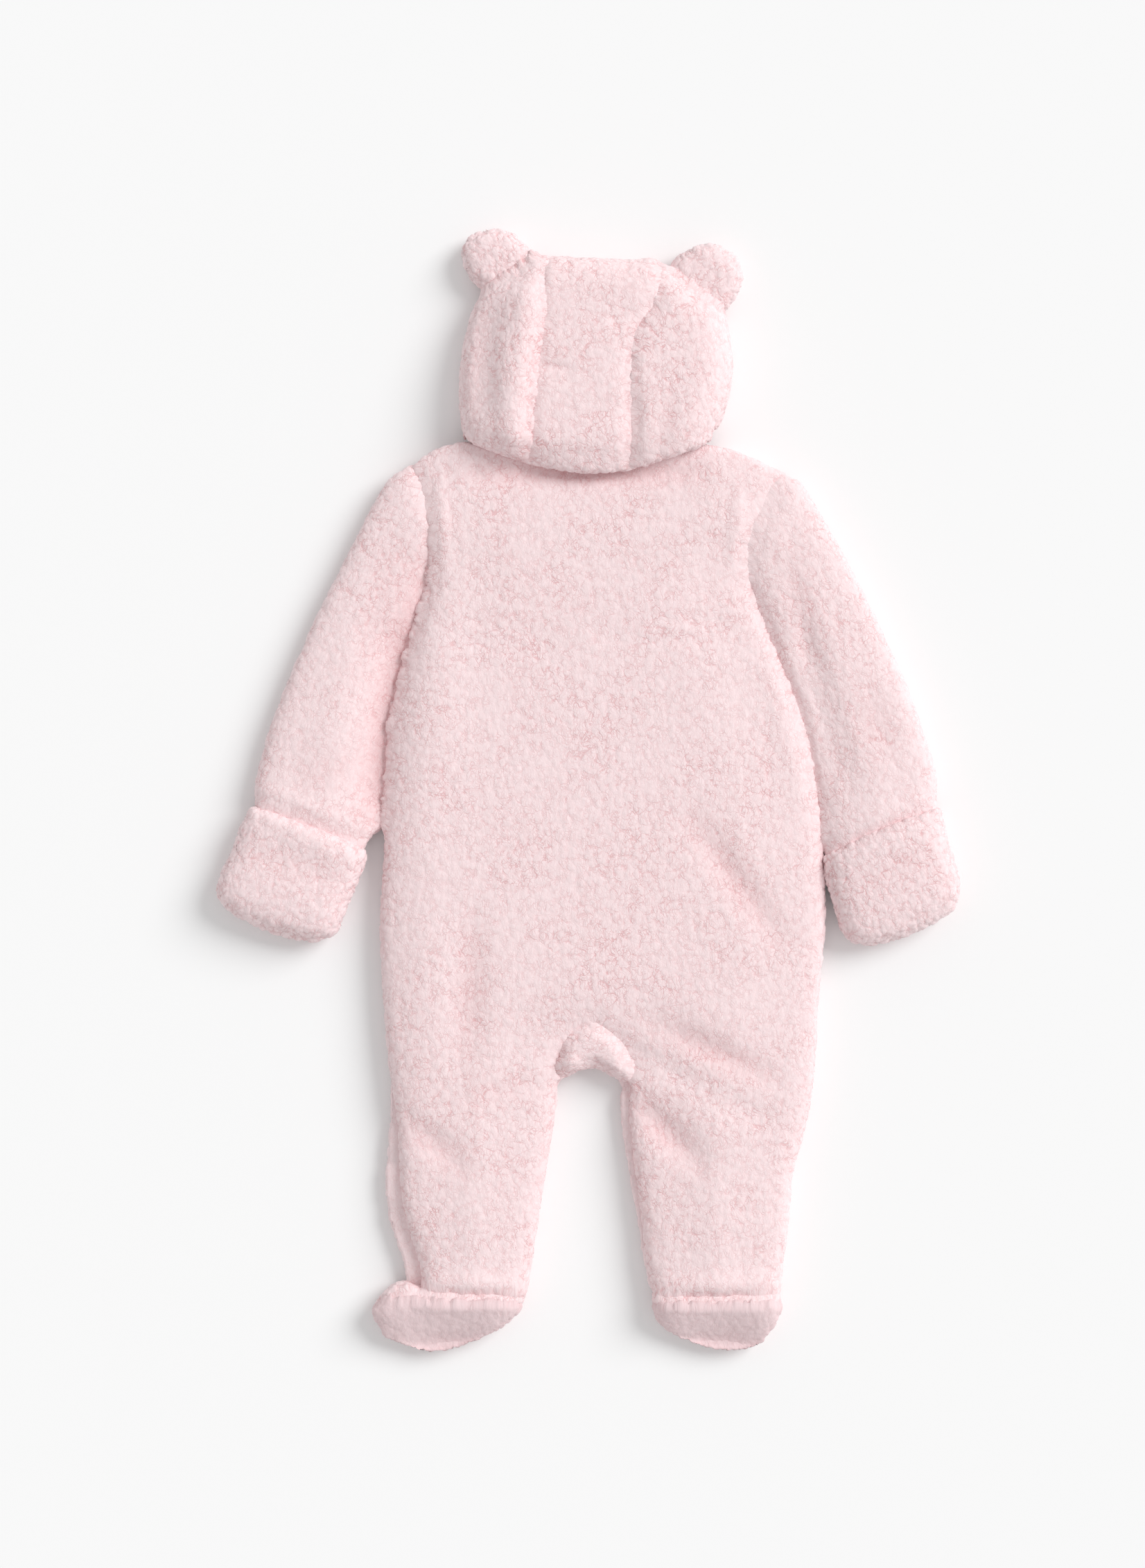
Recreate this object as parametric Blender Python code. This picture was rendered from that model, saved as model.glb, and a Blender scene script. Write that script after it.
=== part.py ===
"""Hooded, footed baby pramsuit in curly sherpa, laid flat on its front, back upwards.

Plan: +X to the right of a viewer who looks down on the back, +Y to the hood, +Z up from the floor.
Each cut piece is one closed solid. The panels lie on each other: the front layer on the floor, the back layer on it.
"""
import bmesh
import bpy
import numpy as np

# Sizes in millimetres.
LAYER = 10.0          # one layer of sherpa: curly pile on its knitted backing
SEAM_GAP = 0.3        # clearance between two pieces that are sewn together
GARMENT_HEIGHT = 20.5
CROWN = 3.5           # how much the middle of a broad panel stands above its rim
ROLL = 17.0           # distance over which a layer rolls down to its edge
UNDER_ROLL = 12.0     # the same, on the underside
EDGE_TOP = 13.6       # a blunt seamed edge runs from EDGE_BOTTOM to EDGE_TOP
EDGE_BOTTOM = 6.8
ROW_STEP = 10.0       # length of one mesh row, about
EDGE_COLUMNS = (0.0, 2.5, 7.0, 14.0)   # how far a row's end columns stand in from its edge
THINNEST = 2.5        # least wall of a leaf or of a rolled edge
SIDES = (("left", -1.0), ("right", 1.0))

PLAN_CENTRE = (0.2, 0.22)   # middle of the laid outline, which becomes the origin

PINK = (0.93, 0.76, 0.77)
TAPE_PINK = (0.90, 0.68, 0.70)
LACQUER_PINK = (0.88, 0.66, 0.68)

# Body outline, neck to ankle: left edge, centre (left leg's inner edge), right leg's inner edge, right edge.
BODY_ROWS = (
    ((-109.3, 204.8), (3.3, 213.2), (3.3, 213.2), (120.3, 200.4)),
    ((-101.9, 178.0), (2.9, 178.0), (2.9, 178.0), (106.3, 174.9)),
    ((-98.8, 153.8), (1.5, 153.8), (1.5, 153.8), (99.2, 153.8)),
    ((-100.5, 128.3), (1.1, 128.3), (1.1, 128.3), (102.3, 127.4)),
    ((-107.6, 104.1), (1.5, 104.1), (1.5, 104.1), (109.8, 105.4)),
    ((-115.1, 79.0), (2.0, 79.0), (2.0, 79.0), (120.5, 79.0)),
    ((-123.0, 43.8), (4.6, 43.8), (4.6, 43.8), (134.5, 43.8)),
    ((-126.1, 4.2), (6.8, 4.2), (6.8, 4.2), (142.5, 4.2)),
    ((-128.7, -42.0), (8.1, -42.0), (8.1, -42.0), (147.6, -42.0)),
    ((-130.9, -83.8), (8.6, -83.8), (8.6, -83.8), (149.4, -83.8)),
    ((-129.6, -123.4), (5.9, -119.0), (5.9, -119.0), (145.9, -123.4)),
    ((-126.9, -158.6), (3.3, -144.0), (3.3, -144.0), (143.7, -158.6)),
    ((-125.2, -178.4), (-11.0, -153.0), (15.0, -153.0), (142.3, -178.4)),
    ((-124.3, -198.2), (-19.5, -171.0), (22.5, -171.0), (140.1, -198.2)),
    ((-125.8, -220.2), (-20.6, -200.0), (20.6, -200.0), (134.9, -220.2)),
    ((-127.4, -246.6), (-26.5, -237.8), (25.6, -237.8), (128.2, -246.6)),
    ((-125.2, -273.0), (-32.3, -275.2), (32.2, -275.2), (126.3, -275.2)),
    ((-116.8, -295.9), (-35.8, -297.2), (35.2, -297.2), (123.0, -297.2)),
    ((-113.9, -315.3), (-38.9, -316.1), (40.4, -317.9), (121.0, -316.1)),
)
# The front layer shows past the back's seam by these amounts: row, left leg's outside, right leg's inside.
PEEK_ROWS = ((12, 1.0, 0.5), (13, 2.5, 4.5), (14, 6.5, 5.5), (15, 9.0, 4.0), (16, 10.5, 2.5), (17, 10.0, 1.5),
             (18, 10.0, 1.0))
ARMPIT_ROW = 3
GUSSET_ROW = 11                # the gusset starts here, and the legs part at LEG_ROW
LEG_ROW = 13
GUSSET_PLACES = (11.15, 11.5, 12.0, 12.5, 12.95)
GUSSET_BULGE = 2.6
NECK_ROW = ((-109.3, 204.8), (-98.8, 213.5), (-80.0, 219.0), (-50.0, 217.5), (0.0, 213.0), (50.0, 216.0),
            (80.0, 217.0), (102.0, 210.0), (120.3, 200.4))
NECK_FALL = 3.0                # the back lies lower under the hood's nape
CROTCH_EDGE = ((-19.6, -183.0), (-9.0, -178.0), (3.0, -175.0), (12.0, -178.0), (20.6, -184.0))

# Sleeves, armhole to hidden end: outer fold, inner fold. The inner fold follows the body's side down to row 7.
SIDE_PLACES = (3.0, 3.5, 4.0, 4.5, 5.0, 5.5, 6.0, 6.5, 7.0)
SLEEVES = {
    "left": {
        "outer": ((-109.3, 204.8), (-123.4, 197.0), (-134.0, 181.0), (-144.5, 161.0), (-155.0, 140.5),
                  (-167.0, 117.5), (-179.0, 91.5), (-190.0, 65.5), (-199.5, 41.0), (-206.5, 17.0), (-209.2, 2.0),
                  (-206.0, -11.8), (-207.0, -33.2), (-208.4, -50.0)),
        "wrist": ((-130.5, -15.6), (-135.5, -26.5), (-145.0, -34.4), (-155.3, -53.9), (-163.4, -70.8)),
        "mitt": (((-212.3, -11.7), (-140.1, -39.4), 2.0), ((-218.9, -24.4), (-141.5, -46.4), 0.0),
                 ((-224.6, -40.7), (-146.7, -59.2), 0.0), ((-231.7, -53.9), (-151.6, -70.6), 0.0),
                 ((-233.9, -64.5), (-155.1, -80.3), -1.0), ((-229.0, -73.5), (-159.4, -89.5), -2.0),
                 ((-218.0, -81.0), (-170.0, -95.0), -3.0)),
    },
    "right": {
        "outer": ((120.3, 200.4), (133.0, 194.0), (144.0, 176.5), (155.0, 158.0), (165.0, 140.0), (176.5, 117.5),
                  (188.0, 93.0), (198.5, 70.5), (208.0, 45.0), (215.5, 22.0), (219.5, 6.0), (216.2, -11.5),
                  (215.5, -33.2), (216.5, -50.0)),
        "wrist": ((145.8, -16.5), (148.5, -28.5), (154.5, -38.3), (163.0, -56.5), (171.9, -71.1)),
        "mitt": (((222.4, -11.0), (148.9, -43.3), 2.0), ((223.8, -23.1), (149.8, -51.3), 0.0),
                 ((228.2, -38.9), (152.5, -62.7), 0.0), ((232.5, -52.1), (156.4, -74.1), 0.0),
                 ((234.3, -63.5), (159.4, -86.5), -1.0), ((230.3, -75.0), (165.1, -94.4), -2.0),
                 ((216.0, -84.0), (175.0, -97.0), -3.0)),
    },
}

TAPER_START = 10.0              # the sleeve flattens from here before the mitt's free edge
TAPER = 8.5
SLEEVE_END = (7.4, 14.6)        # levels of the flattened sleeve end between the mitt's leaves
SLIT_MARGIN = 8.0
SLIT_HEIGHT = 0.8               # the slit between the sleeve's two layers
MITT_EDGE = 14.0                # levels of a mitt's seamed rim, and of its middle above that
MITT_RISE = 11.5
MITT_CROWN = 1.5
MITT_LIP = 3.0                  # the free edge rolls down by this much
MITT_SEAM = (10.6, 11.0)        # where its two leaves meet at the rim

# Hood rows, nape to crown: outline left, left seam, right seam, outline right.
HOOD_ROWS = (
    ((-77.7, 219.5), (-38.6, 205.2), (25.3, 200.4), (76.3, 217.5)),
    ((-79.8, 229.0), (-37.5, 218.0), (27.1, 217.0), (81.5, 228.5)),
    ((-80.7, 246.0), (-36.0, 237.0), (28.3, 236.9), (87.3, 244.0)),
    ((-80.2, 266.0), (-32.3, 264.7), (27.4, 262.0), (90.9, 266.0)),
    ((-77.2, 285.0), (-29.7, 288.4), (31.0, 286.0), (88.7, 285.0)),
    ((-72.3, 303.0), (-27.0, 309.0), (40.0, 302.5), (85.4, 301.5)),
    ((-61.5, 318.2), (-25.0, 324.0), (43.6, 317.0), (71.0, 312.5)),
    ((-42.0, 329.3), (-26.5, 336.0), (45.5, 332.5), (54.0, 325.6)),
)
HOOD_SAG = (0.0, -3.2, 0.0)     # how far the nape edge bows down, in each of the three panels
HOOD_HEIGHT = 31.0
HOOD_ROLL = 21.0
NAPE_RISE = 6.0                 # the hood is this much higher at the nape than at the crown
NAPE_EDGE = 27.0                # level of the nape's rolled edge, over the back
NAPE_ROLL = 11.0
HOOD_GROOVE = (5.0, -3.4)       # half width and depth along its two seams
FACE_OPENING = ((-30.0, 35.0), (236.0, 304.0))
TURNED_EDGE = 221.0             # where the turned-under sides end, just past the neck
TURNED_LAP = 1.6                # how far they reach up into the rolled edge

# Ears, hood edge to tip: left end, right end, bow of the row.
EARS = {
    "left": (((-67.0, 317.2), (-31.3, 337.6), 0.0), ((-73.5, 322.7), (-37.0, 341.0), 0.0),
             ((-78.5, 332.9), (-43.8, 346.2), 0.5), ((-79.3, 341.3), (-48.6, 351.0), 1.0),
             ((-74.5, 349.1), (-57.5, 353.6), 1.0)),
    "right": (((86.7, 303.7), (51.9, 329.8), 0.0), ((92.6, 311.3), (57.4, 336.4), 0.0),
              ((96.6, 321.4), (66.2, 342.1), -0.5), ((95.4, 331.5), (75.0, 344.5), -1.0),
              ((91.0, 338.5), (82.8, 344.2), -1.0)),
}
EAR_LEVELS = (5.0, 8.5, 11.0, 19.0)     # lower rim, seam, upper rim, top
EAR_ROLL = 10.0

# Feet, ankle to toe: left end, right end, bow of the row. HEEL_BAND rows stand between ankle and sole.
FEET = {
    "left": (((-114.4, -316.2), (-39.6, -317.0), -0.6), ((-130.5, -322.4), (-42.9, -325.1), -1.0),
             ((-135.8, -328.7), (-47.3, -331.5), -1.0), ((-131.9, -337.6), (-55.7, -338.1), -1.0),
             ((-127.7, -344.2), (-66.3, -344.3), -2.5), ((-116.0, -348.6), (-78.0, -348.6), -4.6)),
    "right": (((40.9, -318.6), (120.6, -317.0), -0.6), ((41.6, -325.8), (121.2, -324.9), -1.0),
              ((43.8, -333.3), (118.6, -333.3), -1.0), ((49.9, -339.6), (114.3, -340.8), -1.0),
              ((60.1, -345.3), (109.5, -347.2), -2.0), ((72.0, -349.3), (103.0, -350.6), -2.6)),
}
HEEL_BAND = 0.85
HEEL_HEIGHT = 22.5
ANKLE_GROOVE = (3.5, -4.5)      # half width and depth under the leg's end
SOLE_HEIGHT = 23.5              # at the heel seam; the sole falls from there to the toe
SOLE_FALL = 9.5
SOLE_LENGTH = 27.0

# The closed zip lies at the backing's level, in the pile's groove down the centre front.
ZIP_WIDTH = 6.4
ZIP_SPAN = (-112.0, 209.0)
ZIP_LEVELS = (6.4, 9.0)
ZIP_END_ROW = 10.0              # the groove closes from this row of the body on
CENTRE_FRONT = 3.0              # where the fronts meet below the zip
SLIDER_SIZE = (5.6, 11.0, 3.4)
SLIDER_OFF_END = 12.0

# Folds: from, to, half width, rise (ridge above 0, trough below it).
BODY_FOLDS = (
    ((-92.0, 101.0), (-22.0, 93.0), 6.0, -1.6),
    ((12.0, 96.0), (84.0, 104.0), 6.0, -1.6),
    ((30.0, -166.0), (104.0, -204.0), 8.0, -2.2),
    ((28.0, -188.0), (72.0, -230.0), 7.0, -1.8),
    ((-30.0, -190.0), (-84.0, -226.0), 8.0, -1.6),
    ((-124.0, 92.0), (-139.0, 2.0), 12.0, -4.6),
    ((136.0, 92.0), (158.0, 12.0), 9.0, -3.0),
    ((-60.0, 190.0), (60.0, 186.0), 12.0, -1.4),
)
HOOD_FOLDS = (
    ((-38.0, 306.0), (-46.0, 222.0), 10.0, 6.4),
    ((-60.0, 300.0), (-64.0, 240.0), 8.0, -4.0),
    ((18.0, 295.0), (44.0, 304.0), 4.0, -2.6),
    ((-32.0, 264.7), (-14.0, 264.7), 3.5, -1.6),
    ((5.5, 239.0), (28.0, 239.0), 3.5, -1.6),
)
SEAM_GROOVE = (4.5, -2.6)


def through(points, places):
    """Smooth curve through the points, read at places counted in points from the first."""
    points = np.asarray(points, float)
    places = np.clip(np.asarray(places, float), 0, len(points) - 1)
    first = np.minimum(places.astype(int), len(points) - 2)
    part = (places - first)[..., None]
    longer = np.vstack([2 * points[0] - points[1], points, 2 * points[-1] - points[-2]])
    a, b, c, d = (longer[first + k] for k in range(4))
    return b + 0.5 * part * (c - a + part * (2 * a - 5 * b + 4 * c - d + part * (3 * (b - c) + d - a)))


def drawn(points, steps=6):
    """The same curve as a polyline."""
    return through(points, np.linspace(0, len(points) - 1, steps * (len(points) - 1) + 1))


def off_line(plan, line):
    """Shortest distance from each place of the plan to a polyline."""
    line = np.asarray(line, float)
    start, along = line[:-1], line[1:] - line[:-1]
    away = plan[..., None, :] - start
    share = np.clip((away * along).sum(-1) / (along ** 2).sum(-1), 0, 1)
    return np.sqrt(((away - share[..., None] * along) ** 2).sum(-1)).min(-1)


def nearest(plan, lines):
    """Shortest distance to any of several polylines."""
    return np.min([off_line(plan, line) for line in lines], axis=0)


def rolled(share):
    """Quarter circle from 0 at an edge to 1 at one radius from it."""
    share = np.clip(share, 0, 1)
    return np.sqrt(1 - (1 - share) ** 2)


def eased(share):
    """Smooth step from 0 to 1."""
    share = np.clip(share, 0, 1)
    return share * share * (3 - 2 * share)


def relief(plan, folds):
    """Sum of the soft ridges and troughs."""
    total = np.zeros(plan.shape[:-1])
    for start, end, width, rise in folds:
        total += rise * np.exp(-(off_line(plan, (start, end)) / width) ** 2)
    return total


def spread(width, middle):
    """Column places across a row as shares of its width: close at both edges, even between."""
    steps = np.array(EDGE_COLUMNS) * min(1.0, width / (2.6 * EDGE_COLUMNS[-1]))
    inner = np.linspace(steps[-1], width - steps[-1], middle + 2)[1:-1]
    return np.concatenate([steps, inner, width - steps[::-1]]) / width


def ruled(first, last, middle, bows=None):
    """Plan grid between two edges that have a point for each row; a row may bow along +Y."""
    rows = []
    for k, (a, b) in enumerate(zip(first, last)):
        share = spread(np.hypot(*(b - a)), middle)[:, None]
        row = a + (b - a) * share
        if bows is not None:
            row = row + np.array([0.0, 4.0]) * bows[k] * share * (1 - share)
        rows.append(row)
    return np.array(rows)


def rows_for(points):
    """Places along an edge about one row step apart, with each of its own points among them."""
    points = np.asarray(points, float)
    places = []
    for k, length in enumerate(np.hypot(*(points[1:] - points[:-1]).T)):
        count = max(1, round(length / ROW_STEP))
        places.extend(k + np.arange(count) / count)
    return np.array(places + [len(points) - 1.0])


def bowed_rows(table, middle, start=0.0, end=None):
    """Plan grid of a table with columns left end, right end, bow."""
    left, right = ([row[k] for row in table] for k in (0, 1))
    bows = np.array([(0.0, row[2]) for row in table])
    places = rows_for(right)
    places = np.concatenate([[start], places[places > start + 0.2]])
    if end is not None:
        places = np.concatenate([places[places < end - 0.05], [end]])
    return ruled(through(left, places), through(right, places), middle, through(bows, places)[:, 1])


def body_edges(peek):
    """The body's four edge curves: left side, left leg's inside, right leg's inside, right side."""
    rows = np.array(BODY_ROWS, float)
    if peek:
        for row, left, right in PEEK_ROWS:
            rows[row, 0, 0] += left
            rows[row, 2, 0] += right
    return [rows[:, k] for k in range(4)]


def reach(curve, start, end, steps=60):
    """The stretch of a curve between two of its places, as a polyline."""
    return through(curve, np.linspace(start, end, steps))


BODY_END = len(BODY_ROWS) - 1
SHAPE = body_edges(peek=False)
BACK_SHAPE = body_edges(peek=True)


def ends_line(table, steps=9):
    """The last row of a table with columns left end, right end, bow."""
    start, end, bow = (np.array(value, float) for value in table[-1])
    share = np.linspace(0, 1, steps)[:, None]
    return start + (end - start) * share + np.array([0.0, 4.0]) * bow * share * (1 - share)


def outline(table):
    """The same table's two sides and its far end, without its first row."""
    return [drawn([row[0] for row in table]), drawn([row[1] for row in table]), ends_line(table)]


def sleeve_lines(side, outward):
    """Outer and inner fold of a sleeve; the inner one keeps just off the body's side."""
    beside = through(SHAPE[0 if side == "left" else 3], SIDE_PLACES) + np.array([outward * 0.7, 0.0])
    return np.array(SLEEVES[side]["outer"]), np.vstack([beside, SLEEVES[side]["wrist"]])


def free_lines(shape):
    """Every edge of the laid garment at which its two layers roll together."""
    lines = [reach(shape[0], ARMPIT_ROW, BODY_END), reach(shape[3], ARMPIT_ROW, BODY_END),
             reach(shape[1], LEG_ROW, BODY_END), reach(shape[2], LEG_ROW, BODY_END), drawn(CROTCH_EDGE)]
    for side, outward in SIDES:
        lines += [drawn(line) for line in sleeve_lines(side, outward)]
    return lines


FREE = free_lines(SHAPE)
BACK_FREE = free_lines(BACK_SHAPE)
SEAMS = [reach(SHAPE[0], 0, ARMPIT_ROW), reach(SHAPE[3], 0, ARMPIT_ROW),
         np.vstack([reach(BACK_SHAPE[1], LEG_ROW, GUSSET_ROW, 20), reach(BACK_SHAPE[2], GUSSET_ROW, LEG_ROW, 20)[1:]])]


def back_top(plan, free=None):
    """Upper surface of body and sleeves: rolled rim, soft crown, folds, a groove at each seam."""
    away = nearest(plan, BACK_FREE if free is None else free)
    high = EDGE_TOP + (GARMENT_HEIGHT - EDGE_TOP) * rolled(away / ROLL) + CROWN * eased((away - 8) / 50)
    groove = SEAM_GROOVE[1] * np.exp(-(nearest(plan, SEAMS) / SEAM_GROOVE[0]) ** 2)
    neck = -NECK_FALL * eased((plan[..., 1] - 196) / 20)
    fade = eased(away / 10)
    return high + (relief(plan, BODY_FOLDS) + groove + neck) * fade


def underside(plan, lines, low=0.0):
    """Flat on the floor, rolled up to the blunt edge."""
    return low + (EDGE_BOTTOM - low) * (1 - rolled(nearest(plan, lines) / UNDER_ROLL))


def solid(name, plan, top, bottom, quads=None, colour=PINK):
    """Closed solid over a plan: the quads of the grid at two heights, walled round the border."""
    if quads is None:
        rows, columns = plan.shape[:2]
        index = np.arange(rows * columns).reshape(rows, columns)
        quads = np.stack([index[:-1, :-1], index[:-1, 1:], index[1:, 1:], index[1:, :-1]], -1).reshape(-1, 4)
    plan, top, bottom = plan.reshape(-1, 2), np.ravel(top), np.ravel(bottom)
    mesh = bmesh.new()
    upper = [mesh.verts.new((x, y, z)) for (x, y), z in zip(plan, top)]
    lower = [mesh.verts.new((x, y, z)) for (x, y), z in zip(plan, bottom)]
    for quad in quads:
        mesh.faces.new([upper[k] for k in quad])
        mesh.faces.new([lower[k] for k in reversed(quad)])
    sides = {(a, b) for quad in quads.tolist() for a, b in zip(quad, quad[1:] + quad[:1])}
    for a, b in sides:
        if (b, a) not in sides:
            mesh.faces.new([upper[b], upper[a], lower[a], lower[b]])
    loose = [vert for vert in mesh.verts if not vert.link_faces]
    bmesh.ops.delete(mesh, geom=loose, context="VERTS")
    return finished(name, mesh, colour)


def finished(name, mesh, colour=PINK, roughness=0.95):
    """Object in metres with its own material, faces outwards, flat areas left undivided, off PLAN_CENTRE."""
    bmesh.ops.dissolve_limit(mesh, angle_limit=0.002, verts=mesh.verts, edges=mesh.edges)
    bmesh.ops.triangulate(mesh, faces=[face for face in mesh.faces if len(face.verts) > 4])
    bmesh.ops.recalc_face_normals(mesh, faces=mesh.faces)
    bmesh.ops.translate(mesh, vec=(-PLAN_CENTRE[0], -PLAN_CENTRE[1], 0.0), verts=mesh.verts)
    bmesh.ops.scale(mesh, vec=(0.001, 0.001, 0.001), verts=mesh.verts)
    data = bpy.data.meshes.new(name)
    mesh.to_mesh(data)
    mesh.free()
    data.shade_smooth()
    data.set_sharp_from_angle(angle=0.7)
    material = bpy.data.materials.new(name)
    material.use_nodes = True
    shader = material.node_tree.nodes["Principled BSDF"]
    shader.inputs["Base Color"].default_value = (*colour, 1.0)
    shader.inputs["Roughness"].default_value = roughness
    data.materials.append(material)
    made = bpy.data.objects.new(name, data)
    garment.objects.link(made)
    return made


def half_body(edges, left_half, middle):
    """Plan grid of one half, from its outer edge to the centre line and down the leg's inside."""
    outer, inner = (edges[0], edges[1]) if left_half else (edges[3], edges[2])
    places = rows_for(SHAPE[0])
    plan = ruled(through(outer, places), through(inner, places), middle)
    neck = np.array(NECK_ROW)
    hump = np.interp(plan[0, :, 0], neck[:, 0], neck[:, 1]) - plan[0, :, 1]
    plan[..., 1] += hump * np.clip(1 - places, 0, 1)[:, None]
    return plan, places


def make_back():
    """Both halves share the centre line down to the gusset; below it each leg has its own edge."""
    left, places = half_body(BACK_SHAPE, True, 5)
    right, _ = half_body(BACK_SHAPE, False, 5)
    rows, columns = left.shape[:2]
    plan = np.vstack([left.reshape(-1, 2), right.reshape(-1, 2)])
    left_index = np.arange(rows * columns).reshape(rows, columns)
    right_index = left_index + rows * columns
    shared = places <= GUSSET_ROW
    right_index[shared, -1] = left_index[shared, -1]
    quads = []
    for index in (left_index, right_index):
        faces = np.stack([index[:-1, :-1], index[1:, :-1], index[1:, 1:], index[:-1, 1:]], -1).reshape(-1, 4)
        quads.append(faces if index is left_index else faces[:, ::-1])
    solid("back", plan, back_top(plan), np.full(len(plan), LAYER + SEAM_GAP), np.vstack(quads))


def make_fronts():
    """The two fronts lie on the floor and leave the pile's groove for the zip between them."""
    for side, outward in SIDES:
        plan, places = half_body(SHAPE, side == "left", 3)
        centre = np.where(places > GUSSET_ROW, CENTRE_FRONT, through(SHAPE[1], places)[:, 0])
        groove = (ZIP_WIDTH + SEAM_GAP) / 2 * (1 - eased((places - ZIP_END_ROW) / 0.8))
        outer, inner = plan[:, 0, 0], plan[:, -1, 0].copy()
        moved = np.where(places <= LEG_ROW, centre + outward * (groove + SEAM_GAP) - inner, 0.0)
        plan[..., 0] += (plan[..., 0] - outer[:, None]) / (inner - outer)[:, None] * moved[:, None]
        solid(f"front_{side}", plan, np.full(plan.shape[:2], LAYER), underside(plan, FREE))


def make_gusset():
    """Half-moon set into the back above the crotch."""
    arc_left = through(BACK_SHAPE[1], GUSSET_PLACES) + np.array([0.4, -0.4])
    arc_right = through(BACK_SHAPE[2], GUSSET_PLACES) + np.array([-0.4, -0.4])
    upper = np.vstack([arc_left[::-1], arc_right])
    lower = through(CROTCH_EDGE, np.linspace(0, len(CROTCH_EDGE) - 1, len(upper)))
    lower[0, 0], lower[-1, 0] = upper[0, 0], upper[-1, 0]
    plan = np.stack([upper + (lower - upper) * share for share in (0.0, 0.35, 0.7, 1.0)])
    bulge = GUSSET_BULGE * rolled(nearest(plan, [upper, lower]) / 7.0)
    solid("gusset", plan, back_top(plan) + bulge, np.full(plan.shape[:2], LAYER + SEAM_GAP))


def past_wrist(plan, side, outward):
    """0 on the open sleeve, 1 where the mitt covers it."""
    start, end = (np.array(point) for point in SLEEVES[side]["mitt"][0][:2])
    along = (end - start) / np.hypot(*(end - start))
    normal = np.array([along[1], -along[0]]) * -outward
    return eased(((plan - start) @ normal + TAPER_START) / TAPER)


def looped(plan, low, high):
    """A ring of points for each row: across at the upper level and back at the lower one."""
    return np.concatenate([np.dstack([plan, high]), np.dstack([plan, low])[:, ::-1]], axis=1)


def make_sleeve(side, outward):
    """One piece folded flat: an outer skin, and the slit between its two layers."""
    outer, inner = sleeve_lines(side, outward)
    places = rows_for(outer)
    plan = ruled(through(outer, places), through(inner, places), 4)
    armhole = reach(SHAPE[0 if side == "left" else 3], 0, ARMPIT_ROW, 40)[::-1]
    bend = np.interp(plan[0, :, 1], armhole[:, 1], armhole[:, 0]) + outward * 0.45 - plan[0, :, 0]
    plan[..., 0] += bend * np.clip(1 - places / 3.0, 0, 1)[:, None]
    width = np.hypot(*(plan[:, -1] - plan[:, 0]).T)
    share = np.linspace(0, 1, plan.shape[1])[None, :, None]
    margin = (SLIT_MARGIN / width)[:, None, None]
    slit = plan[:, :1] + (plan[:, -1:] - plan[:, :1]) * (margin + (1 - 2 * margin) * share)

    covered = past_wrist(plan, side, outward)
    hidden_edge = (nearest(plan, FREE) < 1.5) & (covered > 0.5)
    top = back_top(plan, FREE) * (1 - covered) + SLEEVE_END[1] * covered - 2.0 * hidden_edge
    bottom = underside(plan, FREE) * (1 - covered) + SLEEVE_END[0] * covered + 1.5 * hidden_edge
    middle = np.full(plan.shape[:2], LAYER + SEAM_GAP / 2)
    loops = looped(plan, bottom, top), looped(slit, middle - SLIT_HEIGHT / 2, middle + SLIT_HEIGHT / 2)

    mesh = bmesh.new()
    outside, inside = ([[mesh.verts.new(point) for point in row] for row in loop] for loop in loops)
    pairs = [*zip(outside[:-1], outside[1:]), *zip(inside[:-1], inside[1:]), (outside[0], inside[0]),
             (outside[-1], inside[-1])]
    for a, b in pairs:
        for k in range(len(a)):
            mesh.faces.new((a[k - 1], a[k], b[k], b[k - 1]))
    finished(f"sleeve_{side}", mesh)


def make_mitts(side):
    """Two leaves sewn round their outline, over and under the flattened sleeve end."""
    plan = bowed_rows(SLEEVES[side]["mitt"], 2)
    away = nearest(plan, outline(SLEEVES[side]["mitt"]))
    free_edge = np.hypot(*(plan - plan[:1]).transpose(2, 0, 1))
    inside = eased((away - 1.5) / 4.5)
    lip = MITT_LIP * (1 - rolled(free_edge / 5.0))
    top = MITT_EDGE + MITT_RISE * rolled(away / 15.0) + MITT_CROWN * eased((away - 8) / 20) - lip * inside
    upper_bottom = MITT_SEAM[1] + (SLEEVE_END[1] + 0.5 - MITT_SEAM[1]) * inside
    lower_top = MITT_SEAM[0] - (MITT_SEAM[0] - SLEEVE_END[0] + 0.5) * inside
    lower_bottom = 5.5 * (1 - rolled(away / UNDER_ROLL))
    solid(f"mitt_upper_{side}", plan, top, upper_bottom)
    solid(f"mitt_lower_{side}", plan, np.maximum(lower_top, lower_bottom + THINNEST), lower_bottom)


def hood_plan(columns, start=0.0, sag=0.0, middle=3):
    """Plan grid of one hood panel between two columns of the hood's table."""
    first, last = ([row[k] for row in HOOD_ROWS] for k in columns)
    places = rows_for([row[0] for row in HOOD_ROWS])
    places = np.concatenate([[start], places[places > start + 0.25]])
    bows = sag * np.clip(1 - places, 0, 1)
    return ruled(through(first, places), through(last, places), middle, bows)


HOOD_SIDES = [drawn([row[k] for row in HOOD_ROWS]) for k in (0, 3)]
HOOD_CROWN = drawn([HOOD_ROWS[-1][k] for k in range(4)])
HOOD_SEAMS = [drawn([row[k] for row in HOOD_ROWS]) for k in (1, 2)]
NAPE = drawn([HOOD_ROWS[0][0], (-58.0, 211.0), HOOD_ROWS[0][1], (-7.0, 198.5), HOOD_ROWS[0][2], (52.0, 207.5),
              HOOD_ROWS[0][3]])


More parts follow.
